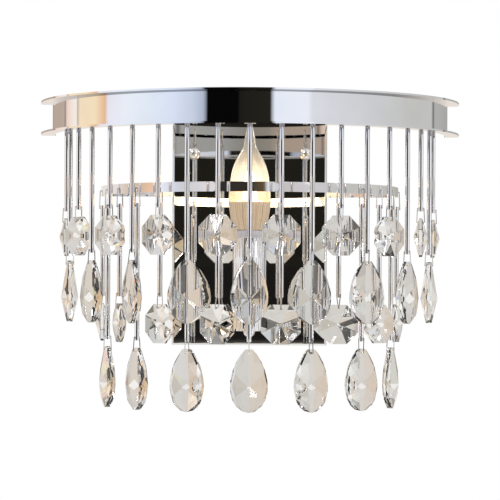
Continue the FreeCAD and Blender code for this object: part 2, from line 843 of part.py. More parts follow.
# ---- Build -------------------------------------------------------------------------------
def build():
    """Every node's shape by name."""
    nodes = {
        "wall_bracket": wall_bracket(),
        "bracket_studs": Part.makeCompound(bracket_studs()),
        "ball_nuts": Part.makeCompound(ball_nuts()),
        "back_plate": back_plate(),
        "terminal_block": terminal_block(),
        "earth_terminal": earth_terminal(),
        "upper_frame": flat_bar_frame(outer_strands, upper_bar_bottom_z),
        "lower_frame": flat_bar_frame(inner_strands, lower_bar_bottom_z),
        "outer_rim": outer_rim(),
        "rim_tabs": Part.makeCompound(rim_tabs()),
        "lamp_bracket": lamp_bracket(),
        "lamp_bracket_rivets": Part.makeCompound(rivets()),
        "lamp_bolt": lamp_bolt(),
        "lamp_finial": lamp_finial(),
        "lamp_sleeve": lamp_sleeve(),
        "lampholder": lampholder(),
        "lampholder_contact": lampholder_contact(),
        "bulb_cap": bulb_cap(),
        "bulb_heat_sink": bulb_heat_sink(),
        "bulb_led_core": bulb_led_core(),
        "bulb_glass": bulb_glass(),
    }
    crystals = {"pendant": pendant(), "octagon": octagon()}
    hook = link(hook_drop, hook_half_width, hook_foot_half_width)
    hooks = []
    clips = []
    for tier, strands in (("outer", outer_strands), ("inner", inner_strands)):
        rods = []
        for strand in strands:
            bottom_z = strand["rod_top_z"] - strand["rod_length"]
            rods.append(hung(rod(strand["rod_length"]), strand, bottom_z, False))
            hooks.append(hung(hook, strand, strand["rod_top_hole_z"], False))
            clip = link(clip_drop, clip_half_width, clip_foot_half_width, strand["turn"])
            clips.append(hung(clip, strand, strand["crystal_hole_z"], False))
            nodes[strand["node"]] = hung(crystals[strand["drop"]], strand, strand["crystal_hole_z"], True)
        nodes[tier + "_rods"] = Part.makeCompound(rods)
    nodes["rod_hooks"] = Part.makeCompound(hooks)
    nodes["crystal_clips"] = Part.makeCompound(clips)
    return nodes


nodes = build()
os.makedirs("parts", exist_ok=True)
for node_name, shape in nodes.items():
    shape.exportStep("parts/%s.step" % node_name)
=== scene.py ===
"""Looks of the crystal wall sconce: camera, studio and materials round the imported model.

The rods and the bulb's glass are replaced with smooth round ones. Lengths are in metres, in the
model's own frame: the wall is y = 0 and the room lies towards -Y.
"""

import json
import math

import bpy
from mathutils import Matrix, Vector


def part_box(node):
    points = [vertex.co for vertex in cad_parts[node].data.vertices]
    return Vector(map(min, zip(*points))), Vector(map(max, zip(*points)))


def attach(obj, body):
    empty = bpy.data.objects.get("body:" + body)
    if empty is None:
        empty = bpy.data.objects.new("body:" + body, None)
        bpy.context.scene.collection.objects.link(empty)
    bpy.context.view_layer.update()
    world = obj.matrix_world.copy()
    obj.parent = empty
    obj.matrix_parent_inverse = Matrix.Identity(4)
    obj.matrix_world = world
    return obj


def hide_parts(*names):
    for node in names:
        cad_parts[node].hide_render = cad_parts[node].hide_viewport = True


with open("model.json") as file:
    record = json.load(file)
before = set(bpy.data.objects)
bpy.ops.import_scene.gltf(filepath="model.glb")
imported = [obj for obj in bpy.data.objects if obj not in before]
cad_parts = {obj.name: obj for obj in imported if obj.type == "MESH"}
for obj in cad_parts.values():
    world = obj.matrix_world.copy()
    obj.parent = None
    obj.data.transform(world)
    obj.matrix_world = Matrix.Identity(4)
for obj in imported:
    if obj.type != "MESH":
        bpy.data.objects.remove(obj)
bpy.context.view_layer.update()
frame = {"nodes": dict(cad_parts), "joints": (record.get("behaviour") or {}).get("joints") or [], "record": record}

# ---- Camera: the photograph's viewpoint -----------------------------------------------------
CAMERA_DISTANCE = 2.065        # from the wall
CAMERA_HEIGHT = -0.1107
CAMERA_ROLL = 0.27             # degrees
CAMERA_LENS = 173.5            # mm, on the default 36 mm sensor
CAMERA_SHIFT = (0.0014, 0.068)

# ---- Studio ---------------------------------------------------------------------------------
FLOOR_DROP = 1.2               # below the origin
FLOOR_HALF_SIZE = 1.1
FLOOR_TONE = (0.93, 0.93, 0.94, 1.0)
WHITE = (1.0, 1.0, 1.0, 1.0)
WALL = (0.92, 0.91, 0.90, 1.0)  # what cut glass shows straight through it
SOFTBOX_AIM = (0.0, -0.08, -0.08)
# The area lamps: (name, place, size, power in watts).
SOFTBOXES = [
    ("key", (-0.9, -1.1, 0.9), 0.35, 4.0),
    ("fill", (1.1, -0.9, 0.5), 0.25, 2.0),
]
# The two ends of a mask that is made with a ramp.
BLACK = (0.0, 0.0, 0.0)
LIGHT = (1.0, 1.0, 1.0)
# What polished metal mirrors: (azimuth in degrees, colour). Azimuth 0 is where the camera
# stands and 90 is to the camera's right. The rim mirrors the upper bands and the ring the lower.
UPPER_BANDS = [
    (-180, (0.30, 0.28, 0.24)),
    (-168, (0.34, 0.31, 0.27)),
    (-163, (0.50, 0.40, 0.32)),
    (-136, (0.52, 0.42, 0.35)),
    (-134.5, (0.14, 0.11, 0.10)),
    (-133, (0.86, 0.66, 0.56)),
    (-127, (0.96, 0.80, 0.70)),
    (-119, (1.00, 0.94, 0.86)),
    (-117.6, (0.30, 0.25, 0.22)),
    (-116.4, (0.98, 0.80, 0.56)),
    (-100, (0.98, 0.80, 0.54)),
    (-91, (0.86, 0.50, 0.30)),
    (-89.5, (0.86, 0.85, 0.92)),
    (-72, (0.87, 0.93, 1.00)),
    (-44, (0.74, 0.82, 0.96)),
    (-33, (0.64, 0.70, 0.84)),
    (-26, (0.46, 0.52, 0.63)),
    (-24, (0.002, 0.002, 0.002)),
    (-6.5, (0.002, 0.002, 0.002)),
    (-5.5, (0.014, 0.013, 0.010)),
    (11.5, (0.019, 0.017, 0.013)),
    (13.5, (0.84, 0.89, 0.98)),
    (33, (0.90, 0.93, 0.99)),
    (35.5, (0.74, 0.76, 0.80)),
    (60, (0.69, 0.70, 0.72)),
    (108, (0.57, 0.57, 0.54)),
    (129.5, (0.58, 0.58, 0.56)),
    (132, (0.14, 0.14, 0.14)),
    (134.5, (0.46, 0.46, 0.44)),
    (165, (0.40, 0.40, 0.39)),
    (180, (0.30, 0.28, 0.24)),
]
LOWER_BANDS = [
    (-180, (0.88, 0.82, 0.76)),
    (-125, (0.84, 0.78, 0.74)),
    (-112, (0.76, 0.64, 0.54)),
    (-96, (0.68, 0.50, 0.36)),
    (-78, (0.92, 0.60, 0.40)),
    (-75, (0.48, 0.47, 0.46)),
    (-73, (0.84, 0.86, 0.97)),
    (-52, (0.66, 0.67, 0.71)),
    (-27, (0.82, 0.78, 0.78)),
    (-24, (0.030, 0.027, 0.025)),
    (-3.5, (0.036, 0.031, 0.026)),
    (-2.5, (0.015, 0.014, 0.011)),
    (2.5, (0.015, 0.014, 0.011)),
    (3.5, (0.075, 0.062, 0.046)),
    (11, (0.13, 0.085, 0.035)),
    (13.5, (0.82, 0.84, 0.90)),
    (24, (0.60, 0.58, 0.56)),
    (52, (0.64, 0.63, 0.64)),
    (84, (0.56, 0.56, 0.53)),
    (108, (0.62, 0.62, 0.58)),
    (150, (0.50, 0.48, 0.43)),
    (180, (0.44, 0.42, 0.38)),
]
# The rest of the level directions, which the rods and the sleeve mirror.
LEVEL_BANDS = [
    (-180, (0.26, 0.23, 0.21)),
    (-142, (0.24, 0.21, 0.19)),
    (-128, (0.86, 0.80, 0.74)),
    (-80, (0.98, 0.94, 0.90)),
    (-60, (0.94, 0.95, 0.98)),
    (-46, (0.70, 0.72, 0.76)),
    (-37, (0.05, 0.05, 0.05)),
    (-10, (0.012, 0.012, 0.012)),
    (10, (0.012, 0.011, 0.010)),
    (20, (0.10, 0.10, 0.10)),
    (28, (0.88, 0.89, 0.92)),
    (60, (0.98, 0.98, 0.98)),
    (92, (0.80, 0.80, 0.80)),
    (118, (0.60, 0.59, 0.58)),
    (132, (0.20, 0.19, 0.18)),
    (180, (0.24, 0.23, 0.22)),
]
# Above and below the bands, on the camera's side and towards the wall: (height, colour). Heights
# go from 0, straight down, to 1, straight up.
FRONT_ENDS = [
    (0.0, (0.64, 0.61, 0.58)),
    (0.48, (0.66, 0.62, 0.58)),
    (0.49, (0.42, 0.40, 0.38)),
    (0.66, (0.50, 0.50, 0.50)),
    (0.78, (0.92, 0.93, 0.95)),
    (0.93, (0.90, 0.90, 0.92)),
    (1.0, (0.62, 0.62, 0.64)),
]
REAR_ENDS = [
    (0.0, (0.62, 0.58, 0.54)),
    (0.48, (0.84, 0.77, 0.70)),
    (0.49, (0.26, 0.25, 0.21)),
    (0.75, (0.26, 0.25, 0.21)),
    (0.9, (0.80, 0.80, 0.81)),
    (1.0, (0.62, 0.62, 0.64)),
]
# The heights at which the bands start, are whole, start to fade and have gone.
BANDS_HEIGHTS = (0.482, 0.486, 0.60, 0.72)
# How strongly the level bands go on above and below: (height, weight).
SIDES_LEVEL = [
    (0.0, 0.1),
    (0.14, 0.8),
    (0.435, 0.8),
    (0.45, 0.0),
    (0.62, 0.0),
    (0.72, 0.45),
    (0.9, 0.45),
    (1.0, 0.0),
]
# Which bands a direction shows, on a finer scale from 0 at -NEAR_LEVEL to 1 at +NEAR_LEVEL.
NEAR_LEVEL = 0.1
RING_LEVEL = (0.6745, 0.7225)  # the lower bands lie between these
RIM_LEVEL = 0.80               # the upper bands start here
BELOW_LEVEL = (0.05, 0.32)     # on the camera's side they show once more between these, dimmer
BELOW_SHARE = 0.42             # how bright they are there
STRAIGHT_THROUGH = 7.0         # degrees off +Y within which cut glass shows the wall
# What cut glass throws to the eye: flat patches, as (share of them where it starts, colour).
PATCHES = [
    (0.00, (0.035, 0.03, 0.03)),
    (0.05, (0.30, 0.28, 0.27)),
    (0.10, (0.60, 0.56, 0.51)),
    (0.19, (0.92, 0.80, 0.66)),
    (0.215, (0.69, 0.67, 0.65)),
    (0.44, (0.77, 0.76, 0.74)),
    (0.66, (0.72, 0.76, 0.83)),
    (0.78, (0.60, 0.66, 0.82)),
    (0.80, (0.86, 0.86, 0.86)),
    (0.94, (1.00, 1.00, 1.00)),
]
PATCH_SCALE = 2.3              # patches along the unit sphere's radius
PATCH_SHIFT = (2.2, 6.1, 9.4)  # where in the pattern the studio stands
FRINGE = 0.006                 # how far off green a patch's edge lies in red and in blue
# The dark side that the camera stands on, as cut glass throws it back to the eye.
CAMERA_SIDE = (-24.0, 13.0)    # azimuths in degrees
CAMERA_SIDE_HEIGHTS = (-0.6, 0.2)  # from -1, straight down, to 1, straight up
CAMERA_SIDE_TONE = (0.02, 0.018, 0.016, 1.0)
# A warm wall on the left (0) and a neutral one on the right (1), seen through the glass.
WARM_SIDE = [
    (0.0, (1.0, 0.74, 0.46)),
    (0.30, (1.0, 0.87, 0.73)),
    (0.47, (1.0, 0.98, 0.95)),
    (0.6, (0.98, 0.99, 0.98)),
    (1.0, (0.96, 0.96, 0.92)),
]

# ---- Finishes -------------------------------------------------------------------------------
HEAT_SINK_RIBS = 48
RIB_DEPTH = 0.0003
SPECKLE_SHARE = 0.35           # of the paint's darkening; painted shade in the ribs' grooves gives the rest
PLATE_LEAN = 0.0362            # the back plate's slope at z = 0
PLATE_BOW = 0.230              # how much that slope grows, per metre of height
PLATE_DUST = (0.45, 0.75)      # the noise's range over which dust comes up on it
DUST_BRIGHTNESS = 1.08         # of dusty chrome against clean
CHROME_RIPPLE = 0.00003
# The core glows as a milky guide, and orange at its foot, where its diodes are.
GUIDE_GLOW = (1.0, 0.88, 0.64, 1.0)
BOARD_GLOW = (1.0, 0.40, 0.07, 1.0)
GUIDE_STRENGTH = 5.0
GUIDE_FOOT = (0.04, 0.30)      # heights over which the orange fades, from 0 to 1
GUIDE_SPOTS = (0.35, 0.6)      # the noise's range over which the orange weakens between diodes
GUIDE_WEAKEST = (0.55, 0.55, 0.55)
# The glass glows by its height, from 0 to 1, with the diodes' spots at its foot.
GLASS_GLOW = [
    (0.0, (0.10, 0.07, 0.035)),
    (0.12, (0.15, 0.12, 0.075)),
    (0.26, (0.215, 0.19, 0.14)),
    (0.42, (0.185, 0.16, 0.115)),
    (0.53, (0.08, 0.065, 0.043)),
    (0.64, (0.035, 0.028, 0.02)),
    (1.0, (0.03, 0.024, 0.018)),
]
DIODE_GLOW = (0.40, 0.15, 0.01, 1.0)
GLASS_FOOT = (0.02, 0.16)      # heights over which the spots fade
GLASS_SPOTS = (0.52, 0.62)     # the noise's range over which a spot comes up

# ---- Pieces that the scene turns itself -----------------------------------------------------
ROD_RADIUS = 0.002
ROD_SIDES = 32
ROD_BEVEL = 0.0003
ROD_HOLE_RADIUS = 0.00075
ROD_HOLE_INSET = 0.0025        # from the end of a rod to its cross-hole
HOLE_SIDES = 12
GLASS_WALL = 0.0008
GLASS_SIDES = 64
GLASS_RINGS = 48
SHARP_EDGE = 35.0              # degrees between faces that still look smooth
# The candle's outline as (share of the height, share of the width).
CANDLE_OUTLINE = [
    (0.0, 1.0),
    (0.13, 0.985),
    (0.27, 0.925),
    (0.39, 0.84),
    (0.46, 0.75),
    (0.53, 0.63),
    (0.60, 0.47),
    (0.67, 0.33),
    (0.80, 0.235),
    (0.92, 0.14),
    (1.0, 0.0),
]

# The Mix node has a set of sockets for each kind of data. These are the colours'.
MIX_FACTOR = 0
MIX_FIRST = 6
MIX_SECOND = 7
MIX_RESULT = 2


# ---- Node helpers ---------------------------------------------------------------------------
def add(tree, kind, settings=None, **sockets):
    """A new node. `settings` are its properties, and each other name is an input socket."""
    node = tree.nodes.new(kind)
    for name, value in (settings or {}).items():
        setattr(node, name, value)
    for name, value in sockets.items():
        set_socket(tree, node, name.replace("_", " "), value)
    return node


def set_socket(tree, node, name, value):
    """Sets an input to a number, or joins it to another node's output."""
    socket = node.inputs[name]
    if isinstance(value, bpy.types.NodeSocket):
        tree.links.new(value, socket)
    else:
        socket.default_value = value


def principled(name, **sockets):
    """A new material and its Principled shader, with the sockets that are the same all over."""
    material = bpy.data.materials.new(name)
    material.use_nodes = True
    shader = material.node_tree.nodes["Principled BSDF"]
    for socket, value in sockets.items():
        shader.inputs[socket.replace("_", " ")].default_value = value
    return material, material.node_tree, shader


def object_place(tree):
    """The X, Y and Z outputs of a point's place in the object's own space."""
    place = add(tree, "ShaderNodeTexCoord").outputs["Object"]
    return add(tree, "ShaderNodeSeparateXYZ", Vector=place).outputs


def noise(tree, scale, detail=2.0, roughness=0.5):
    """Noise in the object's own space, in bumps per metre."""
    place = add(tree, "ShaderNodeTexCoord").outputs["Object"]
    return add(tree, "ShaderNodeTexNoise", Vector=place, Scale=scale, Detail=detail,
               Roughness=roughness).outputs["Fac"]


def spread(tree, value, low, high):
    """A 0..1 value turned into a range."""
    return add(tree, "ShaderNodeMapRange", Value=value, To_Min=low, To_Max=high).outputs["Result"]


def share_between(tree, value, low, high):
    """How far a value has come from `low` to `high`, from 0 to 1."""
    return add(tree, "ShaderNodeMapRange", Value=value, From_Min=low, From_Max=high).outputs["Result"]


def math_node(tree, operation, *values, kind="ShaderNodeMath"):
    """A maths node's output for its inputs in order."""
    node = add(tree, kind, {"operation": operation})
    for index, value in enumerate(values):
        set_socket(tree, node, index, value)
    return node.outputs[0]


def vector_math(tree, operation, *values):
    """The same for vectors and colours."""
    return math_node(tree, operation, *values, kind="ShaderNodeVectorMath")


def ramp(tree, value, stops, blend="LINEAR"):
    """A colour ramp over (position, colour) stops. A new ramp comes with two stops."""
    node = add(tree, "ShaderNodeValToRGB", Fac=value)
    points = node.color_ramp
    points.interpolation = blend
    for i, (position, colour) in enumerate(stops):
        point = points.elements[i] if i < 2 else points.elements.new(position)
        point.position = position
        point.color = (*colour, 1.0)
    return node.outputs["Color"]


def mask_between(tree, value, low, high):
    """1 where a 0..1 value lies between two others, and 0 elsewhere."""
    return ramp(tree, value, [(0.0, BLACK), (low, LIGHT), (high, BLACK)], "CONSTANT")


def colour_mix(tree, factor, first, second):
    """A mix of two colours."""
    node = add(tree, "ShaderNodeMix", {"data_type": "RGBA"})
    set_socket(tree, node, MIX_FACTOR, factor)
    set_socket(tree, node, MIX_FIRST, first)
    set_socket(tree, node, MIX_SECOND, second)
    return node.outputs[MIX_RESULT]


def mottled(tree, value, tone, darkest, start=0.3, end=0.7):
    """A tone that is `darkest` of itself where a value is at `start`, and whole at `end`."""
    dark = tuple(darkest * part for part in tone)
    return ramp(tree, value, [(start, dark), (end, tone)])


def raise_surface(tree, shader, height, strength, distance):
    """Bumps a shader's surface by a height, which counts in units of `distance`."""
    bump = add(tree, "ShaderNodeBump", Height=height, Strength=strength, Distance=distance)
    set_socket(tree, shader, "Normal", bump.outputs["Normal"])


# ---- Materials ------------------------------------------------------------------------------
def polished_chrome(name, tone, roughness, ripple=0.0):
    """Chrome plate: a mirror with faint clouding and a slight ripple from polishing."""
    material, tree, shader = principled(name, Metallic=1.0)
    cloud = noise(tree, scale=45.0, detail=3.0)
    set_socket(tree, shader, "Base Color", mottled(tree, cloud, tone, darkest=0.95))
    set_socket(tree, shader, "Roughness", spread(tree, cloud, *roughness))
    raise_surface(tree, shader, noise(tree, scale=30.0, detail=1.0), strength=1.0, distance=ripple)
    return material


def bowed_chrome(name, tone, roughness, lean, bow):
    """Chrome on thin sheet that leans and bows a little: `lean` is the slope at z = 0."""
    material, tree, shader = principled(name, Metallic=1.0)
    dust = noise(tree, scale=900.0, detail=6.0, roughness=0.7)
    dusty = tuple(DUST_BRIGHTNESS * part for part in tone)
    mirror = ramp(tree, dust, [(PLATE_DUST[0], tone), (PLATE_DUST[1], dusty)])
    set_socket(tree, shader, "Base Color", mirror)
    set_socket(tree, shader, "Roughness", spread(tree, noise(tree, scale=25.0), *roughness))
    z = object_place(tree)["Z"]
    slope = math_node(tree, "MULTIPLY_ADD", z, bow / 2, lean)
    fall = math_node(tree, "MULTIPLY", z, slope)
    height = math_node(tree, "MULTIPLY", fall, -1.0)
    raise_surface(tree, shader, height, strength=1.0, distance=1.0)
    return material


def cut_crystal(name):
    """Clear cut glass with a trace of polishing haze."""
    material, tree, shader = principled(
        name, Base_Color=(0.97, 0.965, 0.955, 1.0), IOR=1.56, Transmission_Weight=1.0)
    set_socket(tree, shader, "Roughness", spread(tree, noise(tree, scale=90.0), low=0.0, high=0.012))
    return material


def lit_glass(name):
    """The bulb's glass, filled with the warm light of its core and clearer towards its tip."""
    material, tree, shader = principled(
        name, Base_Color=(0.97, 0.94, 0.88, 1.0), IOR=1.3, Transmission_Weight=0.92,
        Emission_Strength=1.0)
    low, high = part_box("bulb_glass")
    share = share_between(tree, object_place(tree)["Z"], low[2], high[2])
    grain = noise(tree, scale=110.0, detail=1.0)
    diodes = ramp(tree, grain, [(GLASS_SPOTS[0], BLACK), (GLASS_SPOTS[1], LIGHT)])
    foot = ramp(tree, share, [(GLASS_FOOT[0], LIGHT), (GLASS_FOOT[1], BLACK)])
    spots = math_node(tree, "MULTIPLY", diodes, foot)
    glow = colour_mix(tree, spots, ramp(tree, share, GLASS_GLOW), DIODE_GLOW)
    set_socket(tree, shader, "Emission Color", glow)
    set_socket(tree, shader, "Roughness", spread(tree, noise(tree, scale=60.0), low=0.08, high=0.16))
    return material


def glowing_guide(name):
    """The bulb's lit core, unevenly orange at its foot, where its diodes are."""
    material, tree, shader = principled(name, Roughness=0.35, Emission_Strength=GUIDE_STRENGTH)
    low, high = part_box("bulb_led_core")
    share = share_between(tree, object_place(tree)["Z"], low[2], high[2])
    foot = ramp(tree, share, [(GUIDE_FOOT[0], LIGHT), (GUIDE_FOOT[1], BLACK)])
    grain = noise(tree, scale=160.0)
    uneven = ramp(tree, grain, [(GUIDE_SPOTS[0], LIGHT), (GUIDE_SPOTS[1], GUIDE_WEAKEST)])
    orange = math_node(tree, "MULTIPLY", foot, uneven)
    warm = colour_mix(tree, orange, GUIDE_GLOW, BOARD_GLOW)
    set_socket(tree, shader, "Base Color", warm)
    set_socket(tree, shader, "Emission Color", warm)
    return material


def ribbed_paint(name, tone, ribs):
    """Paint over fine upright ribs round the lamp's axis, with painted shade in the grooves."""
    material, tree, shader = principled(name)
    place = object_place(tree)
    low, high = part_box("bulb_heat_sink")
    depth = math_node(tree, "SUBTRACT", place["Y"], (low[1] + high[1]) / 2)
    turn = math_node(tree, "ARCTAN2", place["X"], depth)
    wave = math_node(tree, "SINE", math_node(tree, "MULTIPLY", turn, float(ribs)))
    rib = math_node(tree, "MULTIPLY_ADD", wave, 0.5, 0.5)
    speckle = noise(tree, scale=700.0, detail=4.0)
    # Painted shade: the paint is darker where the rib wave is low, in the grooves, mixed with a random speckle.
    ribbed = math_node(tree, "MULTIPLY", rib, 1 - SPECKLE_SHARE)
    speckle_and_groove_shade = math_node(tree, "MULTIPLY_ADD", speckle, SPECKLE_SHARE, ribbed)
    paint = mottled(tree, speckle_and_groove_shade, tone, darkest=0.80, start=0.15, end=0.6)
    set_socket(tree, shader, "Base Color", paint)
    set_socket(tree, shader, "Roughness", spread(tree, speckle, low=0.25, high=0.42))
    raise_surface(tree, shader, rib, strength=0.6, distance=RIB_DEPTH)
    return material


def moulded(name, tone, roughness, grain=500.0):
    """Moulded plastic with a fine grain."""
    material, tree, shader = principled(name)
    speckle = noise(tree, scale=grain, detail=4.0)
    set_socket(tree, shader, "Base Color", mottled(tree, speckle, tone, darkest=0.88))
    set_socket(tree, shader, "Roughness", spread(tree, speckle, *roughness))
    raise_surface(tree, shader, speckle, strength=0.3, distance=0.0001)
    return material


def plain_metal(name, tone, roughness, grain):
    """Bare or zinc-plated metal with a soft cloudiness."""
    material, tree, shader = principled(name, Metallic=1.0)
    cloud = noise(tree, scale=grain, detail=5.0, roughness=0.65)
    set_socket(tree, shader, "Base Color", mottled(tree, cloud, tone, darkest=0.8))
    set_socket(tree, shader, "Roughness", spread(tree, cloud, *roughness))
    return material


def materials():
    """Every material, by the record's slots and by the nodes that have one of their own."""
    return {
        "chrome": polished_chrome(
            "polished_chrome", tone=(0.93, 0.93, 0.95), roughness=(0.01, 0.03), ripple=CHROME_RIPPLE),
        "hook_wire": polished_chrome("bright_wire", tone=(0.78, 0.76, 0.74), roughness=(0.08, 0.16)),
        "zinc_steel": plain_metal(
            "zinc_plated_steel", tone=(0.62, 0.62, 0.60), roughness=(0.25, 0.45), grain=220.0),
        "brass": plain_metal("brass", tone=(0.76, 0.58, 0.28), roughness=(0.2, 0.35), grain=180.0),
        "terminal_plastic": moulded("terminal_plastic", tone=(0.82, 0.82, 0.79), roughness=(0.45, 0.6)),
        "holder_plastic": moulded("holder_plastic", tone=(0.74, 0.70, 0.73), roughness=(0.28, 0.4)),
        "heat_sink": ribbed_paint("champagne_paint", tone=(0.90, 0.69, 0.47), ribs=HEAT_SINK_RIBS),
        "led_guide": glowing_guide("lit_core"),
        "bulb_glass": lit_glass("lit_glass"),
        "crystal": cut_crystal("cut_crystal"),
        "back_plate": bowed_chrome(
            "plate_chrome", tone=(0.80, 0.79, 0.76), roughness=(0.01, 0.03),
            lean=PLATE_LEAN, bow=PLATE_BOW),
        "ball_nuts": polished_chrome("satin_chrome", tone=(0.88, 0.84, 0.78), roughness=(0.10, 0.16)),
    }


def dress(made):
    """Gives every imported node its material."""
    for row in frame["record"]["subparts"]:
        node = frame["nodes"][row["node"]]
        node.data.materials.clear()
        node.data.materials.append(made.get(row["node"]) or made[row["material_slot"]])


# ---- Pieces ---------------------------------------------------------------------------------
def lathe(profile, sides, axis, closed=False):
    """Points and faces of a form turned round an upright axis.

    `profile` is a list of (radius, z), where a radius of 0 is a pole, and `closed` joins its ends.
    """
    points, faces, rings = [], [], []
    for radius, z in profile:
        first = len(points)
        count = sides if radius > 0 else 1
        for i in range(count):
            angle = 2 * math.pi * i / sides
            points.append((axis[0] + radius * math.cos(angle), axis[1] + radius * math.sin(angle), z))
        rings.append([first + i % count for i in range(sides)])
    pairs = list(zip(rings, rings[1:]))
    if closed:
        pairs.append((rings[-1], rings[0]))
    for low, high in pairs:
        for i in range(sides):
            j = (i + 1) % sides
            corners = [low[i], low[j], high[j], high[i]]
            face = [corner for k, corner in enumerate(corners) if corner != corners[k - 1]]
            if len(face) > 2:
                faces.append(face)
    return points, faces


def mesh_object(name, forms):
    """An object from several (points, faces), smooth but for its sharp edges."""
    points, faces = [], []
    for some_points, some_faces in forms:
        first = len(points)
        points += some_points
        faces += [[first + corner for corner in face] for face in some_faces]
    mesh = bpy.data.meshes.new(name)
    mesh.from_pydata(points, [], faces)
    smooth(mesh)
    thing = bpy.data.objects.new(name, mesh)
    bpy.context.collection.objects.link(thing)
    return thing


def smooth(mesh):
    """Smooth shading that keeps the sharp edges."""
    mesh.shade_smooth()
    mesh.set_sharp_from_angle(angle=math.radians(SHARP_EDGE))


def placed(thing, material, body, node):
    """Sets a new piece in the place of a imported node."""
    thing.data.materials.append(material)
    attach(thing, body)
    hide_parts(node)


def cross_drill(x, y, z):
    """A short bar that cuts a rod's cross-hole, along the half-round's radius at that rod."""
    out = Vector((x, y, 0.0)).normalized()
    across = out.orthogonal().normalized()
    up = out.cross(across)
    points = []
    for side in (-1, 1):
        middle = Vector((x, y, z)) + out * (2 * ROD_RADIUS * side)
        for i in range(HOLE_SIDES):
            angle = 2 * math.pi * i / HOLE_SIDES
            ring = across * math.cos(angle) + up * math.sin(angle)
            points.append(tuple(middle + ring * ROD_HOLE_RADIUS))
    count = HOLE_SIDES
    faces = [[i, (i + 1) % count, count + (i + 1) % count, count + i] for i in range(count)]
    faces += [list(range(count))[::-1], list(range(count, 2 * count))]
    return points, faces


def round_rods(tier, material):
    """A tier's rods as smooth round bars with their cross-holes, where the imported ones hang."""
    node = tier + "_rods"
    packed = [vertex.co for vertex in frame["nodes"][node].data.vertices]
    thin = ROD_RADIUS - ROD_BEVEL
    rods, drills = [], []
    for joint in frame["joints"]:
        if not joint["name"].startswith(tier):
            continue
        x, y = joint["pos_m"][:2]
        levels = [p.z for p in packed if math.hypot(p.x - x, p.y - y) < 2 * ROD_RADIUS]
        low, high = min(levels), max(levels)
        profile = [(0, low), (thin, low), (ROD_RADIUS, low + ROD_BEVEL),
                   (ROD_RADIUS, high - ROD_BEVEL), (thin, high), (0, high)]
        rods.append(lathe(profile, ROD_SIDES, (x, y)))
        drills.append(cross_drill(x, y, low + ROD_HOLE_INSET))
        drills.append(cross_drill(x, y, high - ROD_HOLE_INSET))
    thing = mesh_object(node + "_round", rods)
    drill_thing = mesh_object("drills", drills)
    cut = thing.modifiers.new("holes", "BOOLEAN")
    cut.object = drill_thing
    cut.solver = "EXACT"
    shaped = thing.evaluated_get(bpy.context.evaluated_depsgraph_get())
    thing.data = bpy.data.meshes.new_from_object(shaped)
    thing.modifiers.clear()
    bpy.data.objects.remove(drill_thing)
    smooth(thing.data)
    placed(thing, material, "root", node)


def curve_through(points, t):
    """The height at `t` of a smooth curve through (place, height) points."""
    for i in range(len(points) - 1):
        if t <= points[i + 1][0]:
            break
    before = points[max(i - 1, 0)]
    (t0, h0), (t1, h1) = points[i], points[i + 1]
    after = points[min(i + 2, len(points) - 1)]
    span = t1 - t0
    m0 = (h1 - before[1]) / (t1 - before[0]) * span
    m1 = (after[1] - h0) / (after[0] - t0) * span
    u = (t - t0) / span
    return ((2 * u**3 - 3 * u**2 + 1) * h0 + (u**3 - 2 * u**2 + u) * m0
            + (3 * u**2 - 2 * u**3) * h1 + (u**3 - u**2) * m1)


def candle_glass(material):
    """The bulb's flame-shaped glass as one smooth thin shell."""
    low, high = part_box("bulb_glass")
    radius = (high[0] - low[0]) / 2
    height = high[2] - low[2]
    outer, inner = [], []
    for ring in range(GLASS_RINGS + 1):
        # Rings lie closer together towards the tip.
        share = math.sin(math.pi / 2 * ring / GLASS_RINGS)
        width = 0.0 if ring == GLASS_RINGS else radius * curve_through(CANDLE_OUTLINE, share)
        z = low[2] + share * height
        outer.append((width, z))
        if width > 2 * GLASS_WALL:
            inner.append((width - GLASS_WALL, z))
    profile = outer + [(0.0, inner[-1][1] + GLASS_WALL)] + inner[::-1]
    middle = ((low[0] + high[0]) / 2, (low[1] + high[1]) / 2)
    thing = mesh_object("candle_glass", [lathe(profile, GLASS_SIDES, middle, closed=True)])
    placed(thing, material, "bulb", "bulb_glass")


# ---- World, floor, lamps and camera ---------------------------------------------------------
def studio_world():
    """White to the camera and to diffuse light, banded to mirrors and patched to cut glass."""
    world = bpy.data.worlds.new("studio")
    bpy.context.scene.world = world
    world.use_nodes = True
    tree = world.node_tree
    tree.nodes.clear()
    way = add(tree, "ShaderNodeTexCoord").outputs["Generated"]
    parts = add(tree, "ShaderNodeSeparateXYZ", Vector=way).outputs
    mirrored = mirror_studio(tree, parts)
    through = glass_studio(tree, way, parts)
    path = add(tree, "ShaderNodeLightPath").outputs
    seen = colour_mix(tree, path["Is Transmission Ray"], mirrored, through)
    either = math_node(tree, "MAXIMUM", path["Is Glossy Ray"], path["Is Transmission Ray"])
    colour = colour_mix(tree, either, WHITE, seen)
    sky = add(tree, "ShaderNodeBackground", Color=colour, Strength=1.0)
    add(tree, "ShaderNodeOutputWorld", Surface=sky.outputs["Background"])


def azimuth_position(azimuth):
    """An azimuth in degrees as a place on a ramp, from 0 at -180 to 1 at 180."""
    return (azimuth + 180) / 360


def height_position(height):
    """A direction's height as a place on a ramp, from 0 straight down to 1 straight up."""
    return (1 + height) / 2


def azimuth_share(tree, parts):
    """A direction's azimuth, from 0 at -180 degrees to 1 at 180."""
    ahead = math_node(tree, "MULTIPLY", parts["Y"], -1.0)
    turn = math_node(tree, "ARCTAN2", parts["X"], ahead)
    return math_node(tree, "MULTIPLY_ADD", turn, 0.5 / math.pi, 0.5)


def bands(tree, share, stops):
    """Upright bands from (azimuth, colour) stops."""
    return ramp(tree, share, [(azimuth_position(azimuth), colour) for azimuth, colour in stops])


